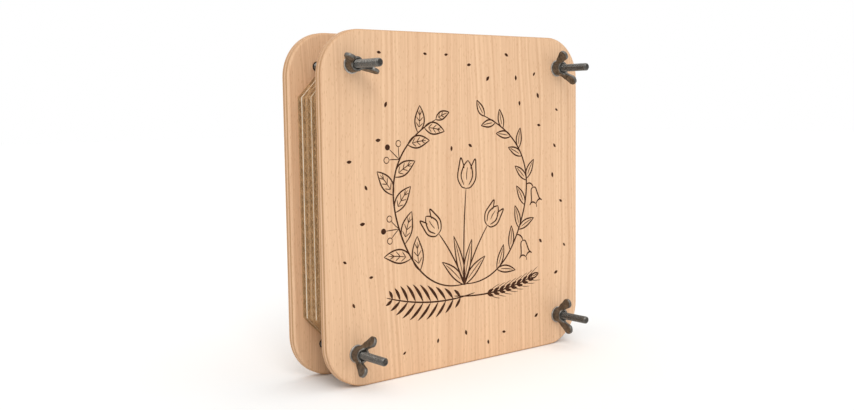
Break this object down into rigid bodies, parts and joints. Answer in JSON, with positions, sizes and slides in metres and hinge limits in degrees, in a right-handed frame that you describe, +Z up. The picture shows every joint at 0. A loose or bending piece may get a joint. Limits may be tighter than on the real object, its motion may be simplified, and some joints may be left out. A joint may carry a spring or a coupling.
{
  "type": "flower press",
  "caption": "Square wooden flower press: two round-cornered plywood plates clamp corrugated cards and blotting papers between corner bolts with wing nuts.",
  "frame": {"origin": "middle of the width and of the depth, on the plane that the plates' lower edges stand on", "axes": "+X to the right of someone who faces the wing nuts, +Y to the back where the bolt heads are, +Z up"},
  "size_m": [0.17, 0.06, 0.17],
  "materials": {
    "plywood": "sanded, bare",
    "bolt_zinc": "dark zinc plated",
    "washer_zinc": "zinc plated, dull",
    "wing_nut_zinc": "dark zinc, cast",
    "corrugated_card": "matt kraft",
    "blotting_paper": "soft, matt",
    "printed_ink": "dark brown print, matt"
  },
  "bodies": {
    "back_half": {"back_plate": "plywood", "bolt_upper_left": "bolt_zinc", "bolt_upper_right": "bolt_zinc", "bolt_lower_right": "bolt_zinc", "bolt_lower_left": "bolt_zinc"},
    "front_half": {"front_plate": "plywood", "washer_upper_left": "washer_zinc", "washer_upper_right": "washer_zinc", "washer_lower_right": "washer_zinc", "washer_lower_left": "washer_zinc"},
    "wing_nut_upper_left": {"wing_nut_upper_left": "wing_nut_zinc"},
    "wing_nut_upper_right": {"wing_nut_upper_right": "wing_nut_zinc"},
    "wing_nut_lower_right": {"wing_nut_lower_right": "wing_nut_zinc"},
    "wing_nut_lower_left": {"wing_nut_lower_left": "wing_nut_zinc"},
    "card_1": {"card_1": "corrugated_card"},
    "card_2": {"card_2": "corrugated_card"},
    "card_3": {"card_3": "corrugated_card"},
    "card_4": {"card_4": "corrugated_card"},
    "card_5": {"card_5": "corrugated_card"},
    "card_6": {"card_6": "corrugated_card"},
    "blotter_1": {"blotter_1": "blotting_paper"},
    "blotter_2": {"blotter_2": "blotting_paper"},
    "blotter_3": {"blotter_3": "blotting_paper"},
    "blotter_4": {"blotter_4": "blotting_paper"},
    "blotter_5": {"blotter_5": "blotting_paper"},
    "blotter_6": {"blotter_6": "blotting_paper"},
    "blotter_7": {"blotter_7": "blotting_paper"},
    "blotter_8": {"blotter_8": "blotting_paper"},
    "blotter_9": {"blotter_9": "blotting_paper"},
    "blotter_10": {"blotter_10": "blotting_paper"}
  },
  "joints": [
    {"name": "upper_left_nut_turn", "type": "hinge", "parent": "front_half", "child": "wing_nut_upper_left", "pos_m": [-0.0685, -0.0083, 0.1535], "axis": [0, -1, 0], "range_deg": [0, 5760]},
    {"name": "upper_right_nut_turn", "type": "hinge", "parent": "front_half", "child": "wing_nut_upper_right", "pos_m": [0.0685, -0.0083, 0.1535], "axis": [0, -1, 0], "range_deg": [0, 5760]},
    {"name": "lower_right_nut_turn", "type": "hinge", "parent": "front_half", "child": "wing_nut_lower_right", "pos_m": [0.0685, -0.0083, 0.0165], "axis": [0, -1, 0], "range_deg": [0, 5760]},
    {"name": "lower_left_nut_turn", "type": "hinge", "parent": "front_half", "child": "wing_nut_lower_left", "pos_m": [-0.0685, -0.0083, 0.0165], "axis": [0, -1, 0], "range_deg": [0, 5760]},
    {"name": "press_opening", "type": "slide", "parent": "back_half", "child": "front_half", "axis": [0, -1, 0], "range_m": [0, 0.0112]},
    {"name": "card_1_slide", "type": "slide", "parent": "back_half", "child": "card_1", "axis": [0, -1, 0], "range_m": [0, 0.00065882]},
    {"name": "card_2_slide", "type": "slide", "parent": "back_half", "child": "card_2", "axis": [0, -1, 0], "range_m": [0, 0.00264]},
    {"name": "card_3_slide", "type": "slide", "parent": "back_half", "child": "card_3", "axis": [0, -1, 0], "range_m": [0, 0.00461]},
    {"name": "card_4_slide", "type": "slide", "parent": "back_half", "child": "card_4", "axis": [0, -1, 0], "range_m": [0, 0.00659]},
    {"name": "card_5_slide", "type": "slide", "parent": "back_half", "child": "card_5", "axis": [0, -1, 0], "range_m": [0, 0.00856]},
    {"name": "card_6_slide", "type": "slide", "parent": "back_half", "child": "card_6", "axis": [0, -1, 0], "range_m": [0, 0.01054]},
    {"name": "blotter_1_slide", "type": "slide", "parent": "back_half", "child": "blotter_1", "axis": [0, -1, 0], "range_m": [0, 0.00132]},
    {"name": "blotter_2_slide", "type": "slide", "parent": "back_half", "child": "blotter_2", "axis": [0, -1, 0], "range_m": [0, 0.00198]},
    {"name": "blotter_3_slide", "type": "slide", "parent": "back_half", "child": "blotter_3", "axis": [0, -1, 0], "range_m": [0, 0.00329]},
    {"name": "blotter_4_slide", "type": "slide", "parent": "back_half", "child": "blotter_4", "axis": [0, -1, 0], "range_m": [0, 0.00395]},
    {"name": "blotter_5_slide", "type": "slide", "parent": "back_half", "child": "blotter_5", "axis": [0, -1, 0], "range_m": [0, 0.00527]},
    {"name": "blotter_6_slide", "type": "slide", "parent": "back_half", "child": "blotter_6", "axis": [0, -1, 0], "range_m": [0, 0.00593]},
    {"name": "blotter_7_slide", "type": "slide", "parent": "back_half", "child": "blotter_7", "axis": [0, -1, 0], "range_m": [0, 0.00725]},
    {"name": "blotter_8_slide", "type": "slide", "parent": "back_half", "child": "blotter_8", "axis": [0, -1, 0], "range_m": [0, 0.00791]},
    {"name": "blotter_9_slide", "type": "slide", "parent": "back_half", "child": "blotter_9", "axis": [0, -1, 0], "range_m": [0, 0.00922]},
    {"name": "blotter_10_slide", "type": "slide", "parent": "back_half", "child": "blotter_10", "axis": [0, -1, 0], "range_m": [0, 0.00988]}
  ],
  "couplings": [
    {"joint": "upper_left_nut_turn", "follows": "press_opening", "rad_per_m": 8976},
    {"joint": "upper_right_nut_turn", "follows": "press_opening", "rad_per_m": 8976},
    {"joint": "lower_right_nut_turn", "follows": "press_opening", "rad_per_m": 8976},
    {"joint": "lower_left_nut_turn", "follows": "press_opening", "rad_per_m": 8976},
    {"joint": "card_1_slide", "follows": "press_opening", "ratio": 0.058824},
    {"joint": "card_2_slide", "follows": "press_opening", "ratio": 0.23529},
    {"joint": "card_3_slide", "follows": "press_opening", "ratio": 0.41176},
    {"joint": "card_4_slide", "follows": "press_opening", "ratio": 0.58824},
    {"joint": "card_5_slide", "follows": "press_opening", "ratio": 0.76471},
    {"joint": "card_6_slide", "follows": "press_opening", "ratio": 0.94118},
    {"joint": "blotter_1_slide", "follows": "press_opening", "ratio": 0.11765},
    {"joint": "blotter_2_slide", "follows": "press_opening", "ratio": 0.17647},
    {"joint": "blotter_3_slide", "follows": "press_opening", "ratio": 0.29412},
    {"joint": "blotter_4_slide", "follows": "press_opening", "ratio": 0.35294},
    {"joint": "blotter_5_slide", "follows": "press_opening", "ratio": 0.47059},
    {"joint": "blotter_6_slide", "follows": "press_opening", "ratio": 0.52941},
    {"joint": "blotter_7_slide", "follows": "press_opening", "ratio": 0.64706},
    {"joint": "blotter_8_slide", "follows": "press_opening", "ratio": 0.70588},
    {"joint": "blotter_9_slide", "follows": "press_opening", "ratio": 0.82353},
    {"joint": "blotter_10_slide", "follows": "press_opening", "ratio": 0.88235}
  ]
}
